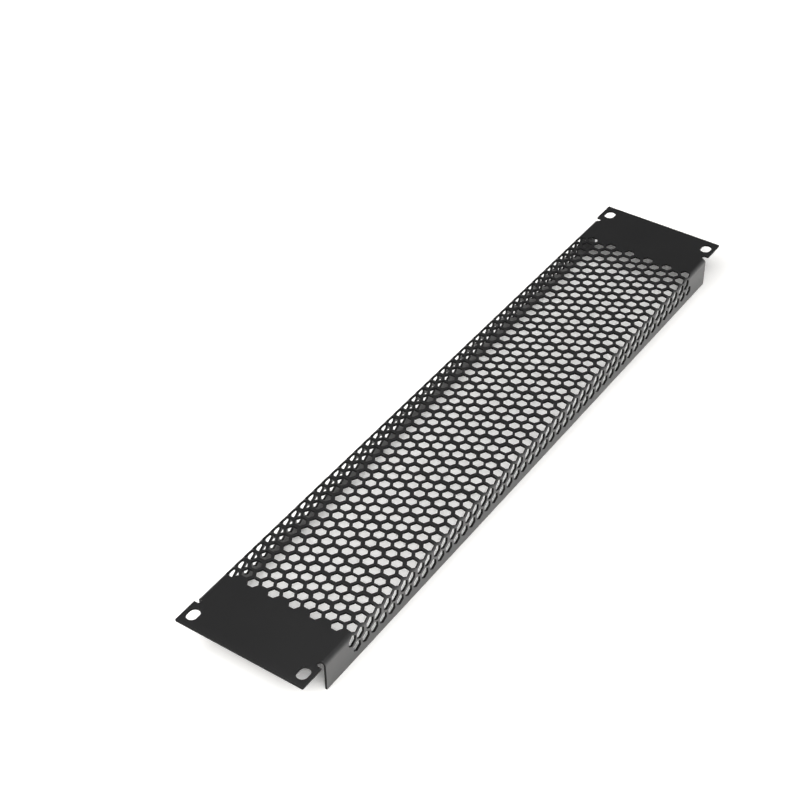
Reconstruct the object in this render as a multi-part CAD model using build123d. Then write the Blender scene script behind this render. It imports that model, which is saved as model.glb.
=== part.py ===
# Vented rack blanking panel: one folded steel sheet, 19 inches wide and 2 rack units high.
# It lies face up on the edges of its two flanges. In a rack the face looks out to the front.
# X runs along the panel, Y across it, and Z out of its front face.
# The origin is under the middle of the panel, in the plane that the flange edges rest on.
from build123d import *

import os
from math import floor, sqrt

# Driving dimensions, in millimetres
panel_length = 482.6      # 19 inches, over the ears
panel_width = 88.1        # 2 rack units of 44.45, less the clearance to the next panel
sheet = 1.5               # steel, 16 gauge
flange_depth = 21.0       # front face to flange edge
bend_inner_radius = 1.5

# Ears, and the relief slots that part them from the bends
ear_length = 16.8
ear_corner_radius = 0.6
relief_width = 3.5
relief_depth = 3.8

# Rack holes, oblong along X
rack_hole_length = 9.2
rack_hole_width = 7.0
rack_hole_inset_x = 8.75  # from the end of the panel to the middle of the hole
rack_hole_inset_y = 5.95  # from its long edge

# Grille of hexagons with two flats across X, on the face and on both flanges.
# The real one has 48 holes to a row, 8.3 mm apart. They are fewer and wider here, to keep it light.
hexagon_pitch = 11.3      # along a row
row_pitch = 9.9           # from row to row
hexagon_width = 8.6       # across the flats
grille_end = 21.0         # plain sheet from the grille to each end of the flanges
grille_offset = 1.5       # toward +X
grille_margin = 1.0       # least flat sheet between a hexagon and a bend or the flange edge

# What follows from them
bend_outer_radius = bend_inner_radius + sheet
face_half = panel_width / 2 - bend_outer_radius
leg = flange_depth - bend_outer_radius
ear_start = panel_length / 2 - ear_length
flange_length = 2 * (ear_start - relief_width)   # the channel that passes between the rack posts
grille_length = flange_length - 2 * grille_end
rack_hole_x = panel_length / 2 - rack_hole_inset_x
rack_hole_y = panel_width / 2 - rack_hole_inset_y
hexagon_point = hexagon_width / sqrt(3)


def hexagon_centres(width):
    """Centres of the staggered rows that fit on a flat strip of that width, about its middle line."""
    room = hexagon_point + grille_margin
    rows = floor((width - 2 * room) / row_pitch) + 1
    per_row = floor((grille_length - hexagon_width - hexagon_pitch / 2) / hexagon_pitch) + 1
    centres = []
    for row in range(rows):
        stagger = hexagon_pitch / 4 if row % 2 == 0 else -hexagon_pitch / 4
        first = grille_offset + stagger - (per_row - 1) / 2 * hexagon_pitch
        across = (row - (rows - 1) / 2) * row_pitch
        centres += [(first + column * hexagon_pitch, across) for column in range(per_row)]
    return centres


def punched(blank, centres):
    """The blank with a hexagon through it at each centre."""
    outline = RegularPolygon(hexagon_width / 2, 6, major_radius=False, rotation=90).wire()
    return blank.face().make_holes([Pos(x, y) * outline for x, y in centres])


def front():
    """The flat face, with the ears, relief slots, rack holes and its rows of the grille."""
    blank = Rectangle(panel_length, panel_width)
    blank = fillet(blank.vertices(), ear_corner_radius)
    rack_hole = SlotOverall(rack_hole_length, rack_hole_width)
    relief = SlotOverall(2 * relief_depth, relief_width, rotation=90)
    bend_strip = Rectangle(flange_length, 2 * bend_outer_radius)
    for sy in (-1, 1):
        for sx in (-1, 1):
            blank -= Pos(sx * rack_hole_x, sy * rack_hole_y) * rack_hole
            blank -= Pos(sx * (ear_start - relief_width / 2), sy * panel_width / 2) * relief
        blank -= Pos(0, sy * panel_width / 2) * bend_strip
    flat = punched(blank, hexagon_centres(2 * face_half))
    return Pos(0, 0, flange_depth - sheet) * extrude(flat, sheet)


def bend():
    """Quarter ring that turns the +Y side of the face down into its flange."""
    section = Circle(bend_outer_radius) - Circle(bend_inner_radius)
    section &= Rectangle(bend_outer_radius, bend_outer_radius, align=Align.MIN)
    frame = Plane(origin=(-flange_length / 2, face_half, leg), x_dir=(0, 1, 0), z_dir=(1, 0, 0))
    return extrude(frame * section, flange_length)


def flange_leg():
    """Flat part of the +Y flange, from the bend down, with its rows of the grille."""
    flat = punched(Rectangle(flange_length, leg), hexagon_centres(leg))
    outside = Plane(origin=(0, panel_width / 2, leg / 2), x_dir=(1, 0, 0), z_dir=(0, 1, 0))
    return extrude(outside * flat, -sheet)


def blanking_panel():
    """The whole panel, one solid."""
    side = [bend(), flange_leg()]
    other_side = [mirror(piece, Plane.XZ) for piece in side]
    return front().fuse(*side, *other_side)


os.makedirs("parts", exist_ok=True)
export_step(blanking_panel(), "parts/blanking_panel.step")
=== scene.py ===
import math

import bmesh
import bpy
from mathutils import Matrix, Vector


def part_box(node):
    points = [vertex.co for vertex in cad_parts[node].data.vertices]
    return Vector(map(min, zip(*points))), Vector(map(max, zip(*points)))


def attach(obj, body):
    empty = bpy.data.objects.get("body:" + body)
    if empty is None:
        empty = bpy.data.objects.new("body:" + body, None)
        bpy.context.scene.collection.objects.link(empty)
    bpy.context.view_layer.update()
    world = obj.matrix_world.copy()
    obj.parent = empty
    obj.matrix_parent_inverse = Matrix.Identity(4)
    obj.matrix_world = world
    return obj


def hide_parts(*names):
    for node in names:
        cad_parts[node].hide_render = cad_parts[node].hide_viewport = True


# Vented rack blanking panel. The sheet is laid out flat, punched, and folded along its two bends.
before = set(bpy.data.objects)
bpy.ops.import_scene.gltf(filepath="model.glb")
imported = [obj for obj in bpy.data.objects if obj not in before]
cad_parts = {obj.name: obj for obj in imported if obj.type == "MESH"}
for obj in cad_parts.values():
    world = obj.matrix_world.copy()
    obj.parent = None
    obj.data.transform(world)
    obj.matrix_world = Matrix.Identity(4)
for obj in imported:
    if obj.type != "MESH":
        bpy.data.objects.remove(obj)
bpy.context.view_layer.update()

mm = 0.001

# Outer sizes of the panel, from the frame
panel_low, panel_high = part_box("blanking_panel")
panel_length = panel_high.x - panel_low.x
panel_width = panel_high.y - panel_low.y
flange_depth = panel_high.z - panel_low.z

# Sheet and bends
sheet = 1.5 * mm
edge_softness = 0.14 * mm        # what the coat leaves round on every punched and cut edge
bend_inner_radius = 1.5 * mm
bend_outer_radius = bend_inner_radius + sheet
bend_arc = math.pi / 2 * bend_outer_radius     # on the outer face, where the grille keeps its pitch
bend_steps = 8
face_half = panel_width / 2 - bend_outer_radius
leg = flange_depth - bend_outer_radius
blank_half = face_half + bend_arc + leg        # from the middle of the flat sheet to a flange edge

# Ears, and the relief slots that part them from the bends
ear_length = 16.8 * mm
ear_corner_radius = 0.6 * mm
relief_width = 3.5 * mm
relief_depth = 3.8 * mm
relief_corner_radius = relief_width / 2 * 0.98     # just short of half the width, so the arcs don't meet
ear_start = panel_length / 2 - ear_length
relief_middle = ear_start - relief_width / 2
relief_floor = panel_width / 2 - relief_depth
flange_length = 2 * (ear_start - relief_width)

# Rack holes
rack_hole_length = 9.2 * mm
rack_hole_width = 7.0 * mm
rack_hole_inset = Vector((8.75 * mm, 5.95 * mm))     # from the panel's end and its long edge
rack_hole_sides = 24

# Grille, on the flat sheet
hexagon_pitch = 8.3 * mm
row_pitch = 7.3 * mm
hexagon_width = 6.3 * mm
holes_per_row = 48
rows = 16
grille_offset = 1.8 * mm         # toward +X

# How the real grille strays from an even one, as if it had been punched in two passes
pass_rows = 8                    # in the first pass
first_pass_error = -0.75 * mm    # along X, of odd columns in its odd rows
second_pass_error = -0.35 * mm   # of odd columns in all its rows
even_row_error = 0.25 * mm       # of the even rows of the first pass
last_stroke = 40                 # first column of the last stroke along a row
last_stroke_error = -0.6 * mm    # of the even rows of the first pass, in that stroke
drift_start = 40 * mm            # from the middle of the sheet, where the rows begin to lie further to -X
drift_end = 47.4 * mm
drift = {-1: 1.6 * mm, 1: 1.3 * mm}     # of the rows on the -Y and the +Y flange
fold_stretch = 1.1               # of the holes on the +Y bend and flange, across the panel
fold_stretch_row = 13            # the first row that has it

# Tolerances
weld_distance = 0.05 * mm
same_place = 0.01 * mm
cut_distance = 0.001 * mm

floor_width = 8.0


def cell_centre(row, column):
    """Where a cell of the grille lies on the flat sheet."""
    stagger = hexagon_pitch / 4 if row % 2 == 0 else -hexagon_pitch / 4
    x = grille_offset + stagger + (column - (holes_per_row - 1) / 2) * hexagon_pitch
    return Vector((x, (row - (rows - 1) / 2) * row_pitch, 0))


def stroke_error(row, column):
    """How far along X a hole lies from the middle of its cell."""
    if row >= pass_rows:
        return second_pass_error if column % 2 else 0
    if row % 2:
        return first_pass_error if column % 2 else 0
    return even_row_error if column < last_stroke else last_stroke_error


def flange_drift(point):
    """How far toward -X a corner of a cell lies. It grows over the bends."""
    side = math.copysign(1, point.y)
    return drift[side] * min(max((abs(point.y) - drift_start) / (drift_end - drift_start), 0), 1)


def honeycomb(bm):
    """Closed hexagonal cells, edge to edge, row by row."""
    stretch = row_pitch / (hexagon_pitch * math.sqrt(3) / 2)
    cells = []
    for row in range(rows):
        for column in range(holes_per_row):
            place = Matrix.Translation(cell_centre(row, column)) @ Matrix.Diagonal((1, stretch, 1, 1))
            made = bmesh.ops.create_circle(bm, cap_ends=True, segments=6,
                                           radius=hexagon_pitch / math.sqrt(3), matrix=place)
            cells.append(made["verts"][0].link_faces[0])
    bmesh.ops.remove_doubles(bm, verts=bm.verts[:], dist=weld_distance)
    for v in bm.verts:
        if v.link_faces:
            v.co.x -= flange_drift(v.co)
    return cells


def draw_outline(bm):
    """Edges all round the flat sheet, with its flanges, ears and relief slots."""
    ear_end = panel_length / 2
    quarter = [(flange_length / 2, blank_half), (flange_length / 2, relief_floor),
               (ear_start, relief_floor), (ear_start, panel_width / 2), (ear_end, panel_width / 2)]
    right = quarter + [(x, -y) for x, y in reversed(quarter)]
    points = right + [(-x, y) for x, y in reversed(right)]
    blank = bm.faces.new([bm.verts.new((x, y, 0)) for x, y in points])
    slot_corners = [v for v in blank.verts if abs(abs(v.co.y) - relief_floor) < same_place]
    ear_corners = [v for v in blank.verts if abs(abs(v.co.x) - ear_end) < same_place]
    bmesh.ops.bevel(bm, geom=ear_corners, offset=ear_corner_radius, segments=3, profile=0.5,
                    affect="VERTICES", material=-1)
    bmesh.ops.bevel(bm, geom=slot_corners, offset=relief_corner_radius, segments=5, profile=0.5,
                    affect="VERTICES", material=-1)
    bmesh.ops.delete(bm, geom=bm.faces[:], context="FACES_ONLY")


def draw_rack_holes(bm):
    """Edges round the four oblong holes in the ears."""
    turn = Matrix.Rotation(math.pi / rack_hole_sides, 4, "Z")
    for sx in (-1, 1):
        for sy in (-1, 1):
            middle = Vector((sx * (panel_length / 2 - rack_hole_inset.x),
                             sy * (panel_width / 2 - rack_hole_inset.y), 0))
            made = bmesh.ops.create_circle(bm, segments=rack_hole_sides, radius=rack_hole_width / 2,
                                           matrix=Matrix.Translation(middle) @ turn)
            for v in made["verts"]:
                v.co.x += math.copysign((rack_hole_length - rack_hole_width) / 2, v.co.x - middle.x)


def shrink_to_holes(bm, cells):
    """Draws each cell in by half a web, and moves its corners to where the real hole has them."""
    web = hexagon_pitch - hexagon_width
    bmesh.ops.inset_individual(bm, faces=cells, thickness=web / 2, use_even_offset=True)
    for number, hole in enumerate(cells):
        row, column = divmod(number, holes_per_row)
        middle = hole.calc_center_median().y
        stretch = fold_stretch if row >= fold_stretch_row else 1
        for v in hole.verts:
            v.co.x += stroke_error(row, column)
            v.co.y = middle + (v.co.y - middle) * stretch


def lies_flat(face):
    """Whether a face belongs to the front or back of the flat sheet, and not to an edge."""
    return abs(face.normal.z) > 0.9


def punched_sheet():
    """The flat sheet, its outer face at z 0, with every opening and soft edges."""
    bm = bmesh.new()
    draw_outline(bm)
    draw_rack_holes(bm)
    border = bm.edges[:]
    cells = honeycomb(bm)
    border += [e for e in bm.edges if e.is_boundary]
    bmesh.ops.triangle_fill(bm, use_beauty=True, use_dissolve=False, edges=border)
    shrink_to_holes(bm, cells)
    bmesh.ops.delete(bm, geom=cells, context="FACES_ONLY")
    back = bmesh.ops.extrude_face_region(bm, geom=bm.faces[:])
    back_verts = [g for g in back["geom"] if isinstance(g, bmesh.types.BMVert)]
    bmesh.ops.translate(bm, verts=back_verts, vec=(0, 0, -sheet))
    bmesh.ops.recalc_face_normals(bm, faces=bm.faces[:])
    rims = [e for e in bm.edges if len(e.link_faces) == 2
            and lies_flat(e.link_faces[0]) != lies_flat(e.link_faces[1])]
    bmesh.ops.bevel(bm, geom=rims, offset=edge_softness, segments=1, profile=0.5,
                    affect="EDGES", material=-1)
    bm.normal_update()
    for face in bm.faces:
        face.material_index = 0 if lies_flat(face) else 1
    return bm


def folded(point):
    """A point of the flat sheet, taken to its place on the folded panel."""
    side = math.copysign(1, point.y)
    past = abs(point.y) - face_half
    if past <= 0 or abs(point.x) > relief_middle:
        return Vector((point.x, point.y, flange_depth + point.z))
    if past >= bend_arc:
        return Vector((point.x, side * (panel_width / 2 + point.z), leg - (past - bend_arc)))
    turn = past / bend_arc * math.pi / 2
    radius = bend_outer_radius + point.z
    return Vector((point.x, side * (face_half + radius * math.sin(turn)), leg + radius * math.cos(turn)))


def fold(bm):
    """Cuts the sheet into strips along both bends, then turns its sides down."""
    for side in (-1, 1):
        bmesh.ops.bisect_plane(bm, geom=bm.verts[:] + bm.edges[:] + bm.faces[:], dist=cut_distance,
                               plane_co=(side * relief_middle, 0, 0), plane_no=(1, 0, 0))
    for side in (-1, 1):
        for step in range(bend_steps + 1):
            channel = [f for f in bm.faces if abs(f.calc_center_median().x) < relief_middle]
            parts = {e for f in channel for e in f.edges} | {v for f in channel for v in f.verts}
            across = side * (face_half + step / bend_steps * bend_arc)
            bmesh.ops.bisect_plane(bm, geom=channel + list(parts), dist=cut_distance,
                                   plane_co=(0, across, 0), plane_no=(0, 1, 0))
    for v in bm.verts:
        v.co = folded(v.co)


def dressed(bm, name, materials):
    """An object of the finished mesh, shaded smooth but for its sharp edges."""
    mesh = bpy.data.meshes.new(name)
    bm.to_mesh(mesh)
    bm.free()
    for polygon in mesh.polygons:
        polygon.use_smooth = True
    sharp_angle = math.radians(50)
    mesh.set_sharp_from_angle(angle=sharp_angle)
    for material in materials:
        mesh.materials.append(material)
    piece = bpy.data.objects.new(name, mesh)
    bpy.context.scene.collection.objects.link(piece)
    keep_flats = piece.modifiers.new("flat_faces", "WEIGHTED_NORMAL")
    keep_flats.weight = 100
    keep_flats.keep_sharp = True
    return piece


def new_material(name):
    """A material that is made of nodes."""
    material = bpy.data.materials.new(name)
    material.use_nodes = True
    return material


def powder_coat():
    """Satin black powder coat on steel."""
    material = new_material("satin_black_powder_coat")
    nodes, links = material.node_tree.nodes, material.node_tree.links
    shader = nodes["Principled BSDF"]
    shader.inputs["Specular IOR Level"].default_value = 1.0
    place = nodes.new("ShaderNodeTexCoord")
    cloud = nodes.new("ShaderNodeTexNoise")
    cloud.inputs["Scale"].default_value = 28
    cloud.inputs["Detail"].default_value = 4
    links.new(place.outputs["Object"], cloud.inputs["Vector"])
    tint = nodes.new("ShaderNodeMix")
    tint.data_type = "RGBA"
    tint.inputs["A"].default_value = (0.0095, 0.0095, 0.0098, 1)
    tint.inputs["B"].default_value = (0.0125, 0.0125, 0.0128, 1)
    links.new(cloud.outputs["Fac"], tint.inputs["Factor"])
    links.new(tint.outputs["Result"], shader.inputs["Base Color"])
    gloss = nodes.new("ShaderNodeMapRange")
    gloss.inputs["To Min"].default_value = 0.27
    gloss.inputs["To Max"].default_value = 0.33
    links.new(cloud.outputs["Fac"], gloss.inputs["Value"])
    links.new(gloss.outputs["Result"], shader.inputs["Roughness"])
    peel = nodes.new("ShaderNodeTexNoise")
    peel.inputs["Scale"].default_value = 1600
    peel.inputs["Detail"].default_value = 2
    links.new(place.outputs["Object"], peel.inputs["Vector"])
    bump = nodes.new("ShaderNodeBump")
    bump.inputs["Strength"].default_value = 0.35
    bump.inputs["Distance"].default_value = 0.03 * mm
    links.new(peel.outputs["Fac"], bump.inputs["Height"])
    links.new(bump.outputs["Normal"], shader.inputs["Normal"])
    return material


def cut_edge_coat():
    """The thin dull coat on punched and cut edges."""
    material = new_material("dull_black_cut_edges")
    shader = material.node_tree.nodes["Principled BSDF"]
    shader.inputs["Base Color"].default_value = (0.009, 0.009, 0.0092, 1)
    shader.inputs["Roughness"].default_value = 0.6
    shader.inputs["Specular IOR Level"].default_value = 0.15
    return material


def combined(nodes, links, operation, first, second):
    """What a maths node makes of two values."""
    maths = nodes.new("ShaderNodeMath")
    maths.operation = operation
    links.new(first, maths.inputs[0])
    links.new(second, maths.inputs[1])
    return maths.outputs["Value"]


def paper_floor():
    """Matt white paper. It is brighter where seen or mirrored, and far off as white as the background."""
    material = new_material("floor_paper")
    nodes, links = material.node_tree.nodes, material.node_tree.links
    nodes.remove(nodes["Principled BSDF"])
    rays = nodes.new("ShaderNodeLightPath")
    seen = rays.outputs["Is Camera Ray"]
    seen_or_mirrored = combined(nodes, links, "MAXIMUM", seen, rays.outputs["Is Glossy Ray"])
    matt = nodes.new("ShaderNodeBsdfDiffuse")
    paper = nodes.new("ShaderNodeMix")
    paper.data_type = "RGBA"
    paper.inputs["A"].default_value = (0.85, 0.84, 0.825, 1)
    paper.inputs["B"].default_value = (1.15, 1.14, 1.12, 1)
    links.new(seen_or_mirrored, paper.inputs["Factor"])
    links.new(paper.outputs["Result"], matt.inputs["Color"])
    place = nodes.new("ShaderNodeTexCoord")
    distance = nodes.new("ShaderNodeVectorMath")
    distance.operation = "LENGTH"
    links.new(place.outputs["Object"], distance.inputs[0])
    far_off = nodes.new("ShaderNodeMapRange")
    far_off.inputs["From Min"].default_value = 0.7
    far_off.inputs["From Max"].default_value = 1.3
    links.new(distance.outputs["Value"], far_off.inputs["Value"])
    seen_far_off = combined(nodes, links, "MULTIPLY", far_off.outputs["Result"], seen)
    white = nodes.new("ShaderNodeEmission")
    surface = nodes.new("ShaderNodeMixShader")
    links.new(seen_far_off, surface.inputs["Fac"])
    links.new(matt.outputs["BSDF"], surface.inputs[1])
    links.new(white.outputs["Emission"], surface.inputs[2])
    links.new(surface.outputs["Shader"], nodes["Material Output"].inputs["Surface"])
    return material


def floor():
    """The plane that the flange edges rest on."""
    bm = bmesh.new()
    bmesh.ops.create_grid(bm, x_segments=1, y_segments=1, size=floor_width / 2)
    mesh = bpy.data.meshes.new("floor")
    bm.to_mesh(mesh)
    bm.free()
    mesh.materials.append(paper_floor())
    plane = bpy.data.objects.new("floor", mesh)
    bpy.context.scene.collection.objects.link(plane)


def room_light():
    """A world that is bright low on the -Y side and dim above the far side. The camera sees it white."""
    world = bpy.data.worlds.new("studio")
    bpy.context.scene.world = world
    world.use_nodes = True
    nodes, links = world.node_tree.nodes, world.node_tree.links
    way = nodes.new("ShaderNodeTexCoord")
    slope = nodes.new("ShaderNodeVectorMath")
    slope.operation = "DOT_PRODUCT"
    slope.inputs[1].default_value = (0, -0.71, -0.71)
    links.new(way.outputs["Generated"], slope.inputs[0])
    room = nodes.new("ShaderNodeMapRange")
    room.interpolation_type = "SMOOTHSTEP"
    room.inputs["From Min"].default_value = -0.6
    room.inputs["From Max"].default_value = 0.6
    room.inputs["To Min"].default_value = 0.09
    room.inputs["To Max"].default_value = 0.94
    links.new(slope.outputs["Value"], room.inputs["Value"])
    rays = nodes.new("ShaderNodeLightPath")
    seen_or_through = combined(nodes, links, "MAXIMUM", rays.outputs["Is Camera Ray"],
                               rays.outputs["Is Transmission Ray"])
    level = nodes.new("ShaderNodeMix")
    level.inputs["B"].default_value = 1.0
    links.new(seen_or_through, level.inputs["Factor"])
    links.new(room.outputs["Result"], level.inputs["A"])
    links.new(level.outputs["Result"], nodes["Background"].inputs["Strength"])
    nodes["Background"].inputs["Color"].default_value = (1, 1, 1, 1)


def softbox(name, direction, distance, size, power):
    """A square soft lamp that looks at the panel from that direction."""
    lamp = bpy.data.lights.new(name, "AREA")
    lamp.shape = "SQUARE"
    lamp.size = size
    lamp.energy = power
    place = bpy.data.objects.new(name, lamp)
    away = Vector(direction).normalized()
    place.location = away * distance
    place.rotation_euler = away.to_track_quat("Z", "Y").to_euler()
    bpy.context.scene.collection.objects.link(place)


def studio():
    """The room and its three softboxes."""
    room_light()
    softbox("softbox_above", direction=(0, 0, 1), distance=2.5, size=1.56, power=14)
    softbox("softbox_front", direction=(-0.45, -0.4, 1), distance=2.8, size=2.5, power=50)
    softbox("softbox_left", direction=(-1, 0.8, 0.9), distance=2.6, size=1.95, power=60)


def camera():
    """The photograph's view of the panel."""
    lens = bpy.data.cameras.new("camera")
    lens.sensor_width = 36
    lens.lens = 78.7
    eye = bpy.data.objects.new("camera", lens)
    place = Vector((-702.98 * mm, -439.00 * mm, flange_depth + 710.76 * mm))
    aim = Vector((-19.68 * mm, 46.75 * mm, flange_depth))
    roll = math.radians(-1.18)
    look = (aim - place).to_track_quat("-Z", "Y").to_matrix().to_4x4()
    eye.matrix_world = Matrix.Translation(place) @ look @ Matrix.Rotation(roll, 4, "Z")
    bpy.context.scene.collection.objects.link(eye)
    bpy.context.scene.camera = eye


coat = powder_coat()
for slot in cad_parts["blanking_panel"].material_slots:
    slot.material = coat
flat_sheet = punched_sheet()
fold(flat_sheet)
panel = dressed(flat_sheet, "punched_panel", [coat, cut_edge_coat()])
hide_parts("blanking_panel")
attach(panel, "root")

floor()
studio()
camera()
bpy.context.scene.view_settings.view_transform = "Standard"
